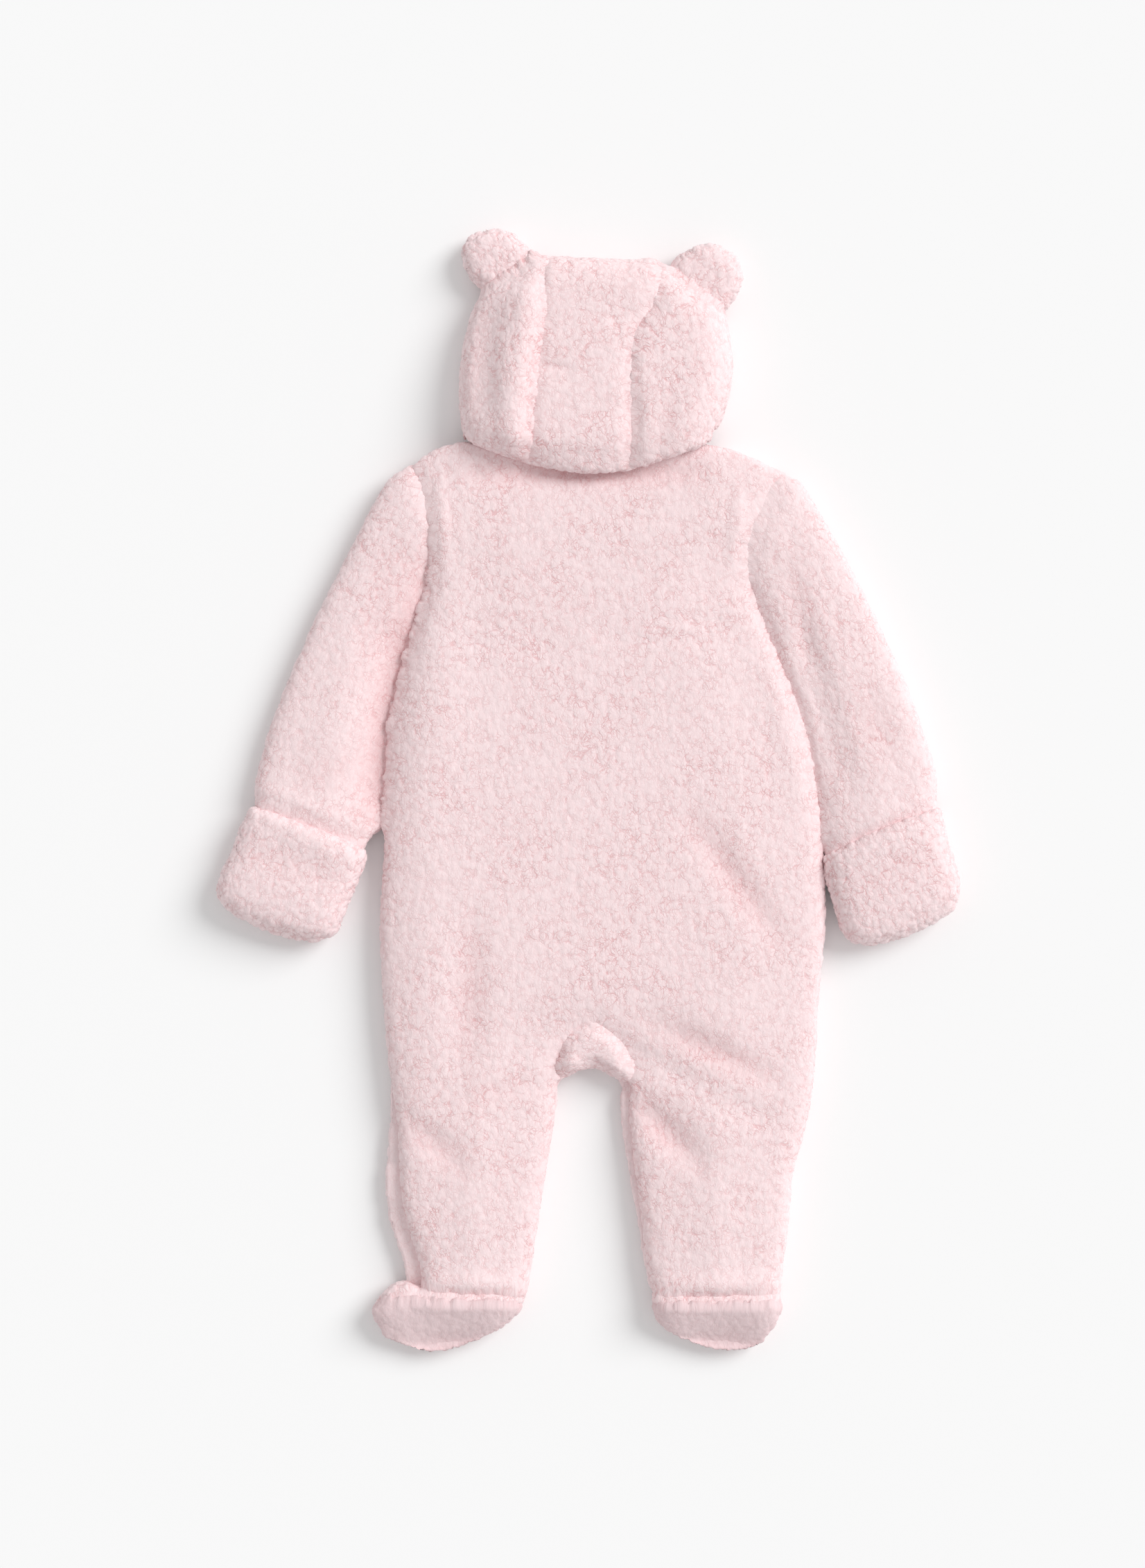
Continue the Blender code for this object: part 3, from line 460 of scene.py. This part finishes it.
def sherpa_cloth(name, fissures, tips=TIPS, mottle_and_shade=MOTTLE_AND_SHADE_PINK):
    """Matt pink sherpa: the pile's colour, a soft sheen, and fibre bump."""
    material = bpy.data.materials.new(name)
    material.use_nodes = True
    tree = material.node_tree
    shader = tree.nodes["Principled BSDF"]
    pile = joined(tree, "ShaderNodeGroup", node_tree=curly_pile)
    pile.inputs["Tips"].default_value = tips
    pile.inputs["Mottle and shade"].default_value = mottle_and_shade
    pile.inputs["Fissures"].default_value = fissures
    bump = joined(tree, "ShaderNodeBump", BUMP_STRENGTH, BUMP_HEIGHT)
    tree.links.new(pile.outputs["Color"], shader.inputs["Base Color"])
    tree.links.new(pile.outputs["Height"], bump.inputs["Height"])
    tree.links.new(bump.outputs["Normal"], shader.inputs["Normal"])
    shader.inputs["Roughness"].default_value = 0.95
    shader.inputs["Specular IOR Level"].default_value = 0.1
    shader.inputs["Sheen Weight"].default_value = 0.2
    shader.inputs["Sheen Roughness"].default_value = 0.6
    return material


SIDES_DEEPER = 3.0                   # the pile stands out more where a panel turns down
TROUGH_FULL_SHADE = 0.0045                      # a trough this deep is painted in full shade
SEAM_SHADE = 0.5                    # and beside a seam this much, on a panel's upright edge
LOWERED_TO = 0.3                     # the least share of its height that a trough leaves a panel


def sherpa_panel(node, cell, cloth, beside=(), nap=(0.0, 1.0), depth=PILE_DEPTH, eased=10,
                 fuller=0.0003, inner_face=None, creases=(), tucks=(), puffs=()):
    """The pile's outer face over one panel's solid, a little fuller than it, kept on or above the floor.

    cut is the panel's cut size and its flat area; eased is how many times the solid's corners are rounded.
    eased is how many times the solid's corners are rounded.
    faces it, sideways by the puffs, and up or down by the folds where it faces up. A trough among the
    creases parts the pile, and one among the tucks doesn't.
    """
    points, quads = even_skin(node, cell, eased, inner_face)
    made = quad_mesh(node + "_sherpa", points, quads)
    along = np.array(nap) / np.hypot(*nap)
    across = np.array((along[1], -along[0]))
    place = np.stack([points[:, :2] @ across, points[:, :2] @ along, points[:, 2]], axis=1)
    made.data.attributes.new("pile_place", "FLOAT_VECTOR", "POINT").data.foreach_set("vector", place.ravel())
    normals = outward(points, quads)
    upright, facing_up = np.abs(normals[:, 2]), np.clip(normals[:, 2], 0, 1)
    relief, lean, near = pile_relief(made, node, depth, beside)
    height = relief * (1 + SIDES_DEEPER * (1 - upright)) + fuller
    facing = np.clip((normals * lean).sum(axis=1) / np.maximum(np.linalg.norm(lean, axis=1), 1e-9), 0, 1)
    sideways = normals * (1, 1, 0) * folded(points, puffs)[:, None]
    creased, tucked = (folded(points, folds) * facing_up for folds in (creases, tucks))
    points = points + normals * height[:, None] + lean * (1, 1, 0) * facing[:, None] + sideways
    lowest = LOWERED_TO * np.maximum(points[:, 2], 0.0)
    points[:, 2] = np.maximum(points[:, 2] + creased + tucked, lowest)
    made.data.vertices.foreach_set("co", points.ravel())
    # Painted shade: troughs among the creases, and upright edges beside a seam, go toward the deeper pink.
    crease_and_seam_shade = np.clip(-creased / TROUGH_FULL_SHADE, 0, 1) + SEAM_SHADE * near * (1 - upright)
    made.data.attributes.new("crease_and_seam_shade", "FLOAT", "POINT").data.foreach_set("value", crease_and_seam_shade)
    made.data.update()
    if inner_face is not None:
        closed(made.data)
    made.data.materials.append(cloth)
    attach(made, "root")
    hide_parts(node)


pressed_sherpa = sherpa_cloth("pressed sherpa", 0.9)
BACK_CELL = 0.00128
BACK_INNER_FACE = 0.0103
BACK_BESIDE = ("sleeve_left", "sleeve_right", "gusset", "foot_upper_left", "foot_upper_right")
BACK_CREASES = (
    ((-0.092, 0.101), (-0.022, 0.093), 0.0060, 0.0010),
    ((0.012, 0.096), (0.084, 0.104), 0.0060, 0.0010),
    ((-0.074, -0.085), (-0.079, -0.180), 0.0120, -0.0022),
    ((0.066, -0.020), (0.118, -0.092), 0.0100, -0.0030),
    ((0.044, -0.148), (0.112, -0.180), 0.0090, -0.0032),
    ((0.028, -0.196), (0.068, -0.236), 0.0090, -0.0032),
    ((-0.036, -0.184), (-0.088, -0.200), 0.0080, -0.0012),
    ((-0.118, -0.204), (-0.078, -0.240), 0.0090, -0.0024),
    ((-0.110, -0.311), (-0.038, -0.312), 0.0070, 0.0024),
    ((0.040, -0.313), (0.120, -0.311), 0.0070, 0.0024),
    ((-0.088, 0.150), (-0.106, -0.030), 0.0200, 0.0042),
    ((-0.104, -0.020), (-0.102, -0.200), 0.0180, 0.0022),
    ((0.108, 0.110), (0.136, -0.010), 0.0080, 0.0012),
    ((-0.070, 0.200), (0.068, 0.200), 0.0075, -0.0045),
    ((-0.094, 0.195), (-0.091, 0.140), 0.0050, 0.0014),
    ((0.095, 0.190), (0.092, 0.140), 0.0050, 0.0012),
)
BACK_HEMS = (                        # locks that hang over the ankle seams
    ((-0.110, -0.317), (-0.096, -0.318), 0.0050, 0.0036),
    ((-0.081, -0.318), (-0.073, -0.318), 0.0040, 0.0026),
    ((-0.058, -0.318), (-0.045, -0.318), 0.0050, 0.0040),
    ((0.046, -0.319), (0.059, -0.319), 0.0050, 0.0036),
    ((0.078, -0.319), (0.087, -0.319), 0.0040, 0.0022),
    ((0.103, -0.318), (0.117, -0.318), 0.0050, 0.0040),
)
sherpa_panel("back", BACK_CELL, pressed_sherpa, BACK_BESIDE,
             eased=22, inner_face=BACK_INNER_FACE, creases=BACK_CREASES, puffs=BACK_HEMS)


# --- Fronts: the two panels under the back, which lie on the floor ----------------------------------------
# The same sherpa, cut in two and sewn to the back down both sides and along the legs' insides. Only their
# edges show beside the left leg; between them the pile leaves a groove for the zip.
brushed_sherpa = sherpa_cloth("brushed sherpa", 0.35)
FRONT_CELL = 0.0019
FRONT_CUTS = {"left": (0.145, 0.545, 0.064), "right": (0.155, 0.545, 0.066)}
FRONT_INNER_FACE = 0.0100
for side, cut in FRONT_CUTS.items():
    sherpa_panel("front_" + side, FRONT_CELL, brushed_sherpa, inner_face=FRONT_INNER_FACE)


# --- Zip: a closed coil on its woven tape, in the groove between the fronts, with its slider at the neck --
# Polyester tape with a moulded coil, sewn under the fronts' edges from the neck to the seat; the slider is
# lacquered. Each turn of the coil is a small block, set a little to one side and to the other by turns.
ZIP_PINK = (0.88, 0.62, 0.65)
SLIDER_PINK = (0.82, 0.54, 0.58)
COIL_PITCH = 0.0016
COIL_TOOTH = (0.0022, 0.0009, 0.0009)      # across the zip, along it, down
COIL_LEVEL = 0.0060
COIL_OFFSET = 0.35                   # of a tooth's width
WAVE_RATE = 20                       # radians that a wave texture turns in a metre at scale 1
GRAIN = 900.0                        # noise scale
RIB_SHARE = 0.4
UNEVEN_RANGE = (0.3, 1.1)
UNEVEN_SHADES = (0.86, 1.06)
UNEVEN_GLOSS = 0.1


def dyed(name, colour, roughness, ribs, rib_height):
    """A dyed finish: soft ribs across the zip, so many radians a metre, and fine grain, added up, give it
    uneven shade, gloss and height."""
    material = bpy.data.materials.new(name)
    material.use_nodes = True
    tree = material.node_tree
    shader = tree.nodes["Principled BSDF"]
    place = joined(tree, "ShaderNodeTexCoord").outputs["Object"]
    grain = noise(tree, place, GRAIN, 2.0).outputs["Fac"]
    rib = joined(tree, "ShaderNodeTexWave", place, bands_direction="Y")
    rib.inputs["Scale"].default_value = ribs / WAVE_RATE
    rib.inputs["Distortion"].default_value = 0.6
    uneven = worked_out(tree, "MULTIPLY_ADD", rib.outputs["Fac"], RIB_SHARE, grain)
    tint = moved(tree, "MULTIPLY", colour, ranged(tree, uneven, *UNEVEN_RANGE, *UNEVEN_SHADES))
    gloss = ranged(tree, uneven, *UNEVEN_RANGE, roughness + UNEVEN_GLOSS, roughness - UNEVEN_GLOSS)
    bump = joined(tree, "ShaderNodeBump", 0.5, rib_height)
    tree.links.new(tint, shader.inputs["Base Color"])
    tree.links.new(gloss, shader.inputs["Roughness"])
    tree.links.new(uneven, bump.inputs["Height"])
    tree.links.new(bump.outputs["Normal"], shader.inputs["Normal"])
    return material


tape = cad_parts["zip"]
tape.data.materials.clear()
tape.data.materials.append(dyed("zip tape", ZIP_PINK, 0.8, 1800, 0.0002))

tape_points = read(tape.data.vertices, "co", 3)
low, high = tape_points[:, 1].min(), tape_points[:, 1].max()
teeth = np.arange(low + COIL_PITCH, high - COIL_PITCH, COIL_PITCH / 2)
rows, row = np.unique(tape_points[:, 1], return_inverse=True)
row_middles = np.bincount(row.ravel(), tape_points[:, 0]) / np.bincount(row.ravel())
offsets = np.where(np.arange(len(teeth)) % 2, 1, -1) * COIL_TOOTH[0] * COIL_OFFSET
levels = np.full(len(teeth), COIL_LEVEL)
tooth_middles = np.stack([np.interp(teeth, rows, row_middles) + offsets, teeth, levels], axis=1)
tooth_corners = (np.indices((2, 2, 2)).reshape(3, 8).T - 0.5) * COIL_TOOTH
tooth_faces = np.array([(0, 1, 3, 2), (4, 6, 7, 5), (0, 4, 5, 1), (2, 3, 7, 6), (0, 2, 6, 4), (1, 5, 7, 3)])
coil_points = (tooth_middles[:, None] + tooth_corners).reshape(-1, 3)
coil_faces = (np.arange(len(teeth))[:, None, None] * 8 + tooth_faces).reshape(-1, 4)
coil = quad_mesh("zip_coil", coil_points, coil_faces)
coil.data.materials.append(dyed("zip coil", ZIP_PINK, 0.4, 600, 0.00005))
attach(coil, "root")

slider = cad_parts["zip_slider"]
slider.data.materials.clear()
slider.data.materials.append(dyed("slider lacquer", SLIDER_PINK, 0.35, 200, 0.00003))


# --- Gusset: the small half-moon above the crotch ---------------------------------------------------------
# A scrap of the same sherpa, loose and unpressed, set into the back where the legs part. Its pile crowds up
# into a puffy roll on one side, with a dip in the corner on the other.
curly_sherpa = sherpa_cloth("curly sherpa", 1.0)
GUSSET_CELL = 0.0010
GUSSET_NAP = (1.0, 0.2)
GUSSET_CREASES = (
    ((-0.014, -0.168), (0.006, -0.194), 0.0060, 0.0040),
    ((-0.026, -0.180), (-0.010, -0.190), 0.0050, -0.0040),
)
sherpa_panel("gusset", GUSSET_CELL, curly_sherpa, ("back",), GUSSET_NAP, eased=14,
             inner_face=BACK_INNER_FACE, creases=GUSSET_CREASES)


# --- Sleeves: one piece each, folded flat beside the body -------------------------------------------------
# Cut in one piece and closed by a seam underneath. The armhole seam draws a soft groove round the shoulder,
# and the left sleeve sinks in beside the body. The sleeve's end fills the mitt's mouth.
SLEEVE_CELL = 0.00125
SLEEVE_NAPS = {"left": (-0.42, -1.0), "right": (0.42, -1.0)}
SLEEVE_CREASES = {
    "left": (((-0.098, 0.135), (-0.130, -0.030), 0.0190, -0.0090),
             ((-0.124, 0.150), (-0.150, 0.060), 0.0080, -0.0012),
             ((-0.150, 0.020), (-0.185, 0.000), 0.0120, -0.0014),
             ((-0.220, -0.006), (-0.138, -0.040), 0.0130, 0.0055)),
    "right": (((0.126, 0.150), (0.140, 0.080), 0.0080, -0.0014),
              ((0.106, 0.115), (0.150, -0.020), 0.0080, -0.0026),
              ((0.170, 0.060), (0.190, 0.020), 0.0120, -0.0014),
              ((0.232, -0.006), (0.146, -0.043), 0.0130, 0.0060)),
}
WRISTS = {
    "left": (((-0.250, 0.004), (-0.100, -0.058), 0.0100, 0.0050),),
    "right": (((0.262, 0.004), (0.112, -0.062), 0.0100, 0.0050),),
}
for side, nap in SLEEVE_NAPS.items():
    sherpa_panel("sleeve_" + side, SLEEVE_CELL, pressed_sherpa, ("back",), nap, eased=14,
                 creases=SLEEVE_CREASES[side], puffs=WRISTS[side])


# --- Mitts: fold-over covers at the sleeves' ends ---------------------------------------------------------
# Two leaves of sherpa sewn round the outline over and under each sleeve's end. The upper leaf's free edge
# is turned in and stands up as a soft lip across the sleeve.
MITT_UPPER_CELL = 0.00115
MITT_LOWER_CELL = 0.0016
MITT_PILE_DEPTH = 0.0006
MITT_FULLER = 0.0008
MITT_CREASES = {
    "left": (((-0.208, -0.015), (-0.143, -0.042), 0.0085, 0.0030),
             ((-0.212, -0.037), (-0.150, -0.064), 0.0100, -0.0010)),
    "right": (((0.220, -0.015), (0.152, -0.046), 0.0085, 0.0022),
              ((0.222, -0.036), (0.156, -0.064), 0.0100, -0.0008)),
}
for side, nap in SLEEVE_NAPS.items():
    sherpa_panel("mitt_upper_" + side, MITT_UPPER_CELL, curly_sherpa, nap=nap,
                 depth=MITT_PILE_DEPTH, eased=20, fuller=MITT_FULLER, creases=MITT_CREASES[side])
    sherpa_panel("mitt_lower_" + side, MITT_LOWER_CELL, curly_sherpa, nap=nap)


# --- Hood: a centre panel between two side panels, its nape rolled over the back --------------------------
# Three panels of sherpa. The left side panel stands up in a puffy fold beside its seam; each panel's seam
# allowance draws the pile into a groove, and the sides turn under to the face opening on the floor side.
HOOD_CELL = 0.00118
LEFT_SEAM_FULL = ((-0.030, 0.352), (-0.033, 0.300), 0.0070, 0.0022)     # the pile fills a seam's groove
RIGHT_SEAM_FULL = ((0.042, 0.352), (0.026, 0.240), 0.0080, 0.0030)
HOOD_PANELS = {                      # its cut, its sewn neighbours, its creases, and its puffs
    "hood_side_left": ((0.088, 0.150, 0.0115), ("hood_centre", "ear_upper_left"), (
        ((-0.034, 0.296), (-0.041, 0.212), 0.0050, -0.0010),
        ((-0.053, 0.300), (-0.056, 0.228), 0.0060, 0.0026),
        ((-0.068, 0.305), (-0.070, 0.240), 0.0060, -0.0012),
    ), (LEFT_SEAM_FULL,)),
    "hood_centre": ((0.094, 0.155, 0.0130), ("hood_side_left", "hood_side_right"), (
        ((-0.024, 0.345), (-0.026, 0.305), 0.0060, 0.0030),
        ((-0.030, 0.2647), (-0.012, 0.2640), 0.0025, -0.0010),
        ((-0.034, 0.250), (-0.037, 0.206), 0.0040, -0.0018),
        ((0.027, 0.250), (0.025, 0.203), 0.0040, -0.0016),
    ), (LEFT_SEAM_FULL, RIGHT_SEAM_FULL)),
    "hood_side_right": ((0.092, 0.150, 0.0122), ("hood_centre", "ear_upper_right"), (
        ((0.046, 0.345), (0.035, 0.290), 0.0065, 0.0014),
        ((0.033, 0.300), (0.031, 0.205), 0.0060, 0.0012),
        ((0.031, 0.250), (0.029, 0.206), 0.0040, -0.0018),
        ((0.052, 0.250), (0.044, 0.212), 0.0060, -0.0010),
    ), (RIGHT_SEAM_FULL,)),
}
for panel, (cut, beside, creases, puffs) in HOOD_PANELS.items():
    sherpa_panel(panel, HOOD_CELL, curly_sherpa, beside, eased=36, creases=creases,
                 puffs=puffs)


# --- Ears: two round leaves each, sewn into the hood's upper corners --------------------------------------
# Two rounds of sherpa, sewn face to face round the edge and turned right side out, with no filling. They
# lie flat beside the hood, and their nap points outwards.
EAR_UPPER_CELL = 0.0010
EAR_LOWER_CELL = 0.0016
EAR_PILE_DEPTH = 0.0007
EAR_NAPS = {"left": (-0.6, 1.0), "right": (0.75, 1.0)}
for side, nap in EAR_NAPS.items():
    sherpa_panel("ear_upper_" + side, EAR_UPPER_CELL, curly_sherpa,
                 ("hood_side_" + side,), nap, EAR_PILE_DEPTH)
    sherpa_panel("ear_lower_" + side, EAR_LOWER_CELL, curly_sherpa, nap=nap)


# --- Feet: closed feet below the ankle seam, toes to the floor --------------------------------------------
# The upper stands up round the heel under the leg's end, and lies under the sole. The sole is sewn to it
# along the heel and falls to the toe; its pile is smoother, and its colours are darker as painted shade.
FOOT_CELL = 0.0012
SOLE_FULLER = 0.0015
# The sole's colours are darkened below the rest's as painted shade.
SOLE_SHADED_TIPS = (0.84, 0.665, 0.68, 1.0)
SOLE_SHADED_MOTTLE_PINK = (0.68, 0.43, 0.44, 1.0)
HEEL_RIDGES = {
    "left": (((-0.122, -0.3235), (-0.046, -0.3255), 0.0045, 0.0018),),
    "right": (((0.045, -0.3255), (0.117, -0.3245), 0.0045, 0.0016),),
}
TOE_TUCKS = {
    "left": (((-0.118, -0.3500), (-0.056, -0.3520), 0.0150, -0.0080),),
    "right": (((0.052, -0.3500), (0.114, -0.3500), 0.0150, -0.0090),),
}
HEEL_CORNERS = {                     # the left heel's corner fills up to the leg
    "left": (((-0.130, -0.3210), (-0.108, -0.3120), 0.0060, 0.0060),),
    "right": (),
}
sole_shaded_sherpa = sherpa_cloth("sole shaded sherpa", 0.35, SOLE_SHADED_TIPS, SOLE_SHADED_MOTTLE_PINK)
for side, ridges in HEEL_RIDGES.items():
    sherpa_panel("foot_upper_" + side, FOOT_CELL, curly_sherpa, ("back",),
                 creases=ridges, tucks=TOE_TUCKS[side], puffs=HEEL_CORNERS[side])
    sherpa_panel("foot_sole_" + side, FOOT_CELL, sole_shaded_sherpa,
                 ("foot_upper_" + side,), fuller=SOLE_FULLER, creases=ridges, tucks=TOE_TUCKS[side])
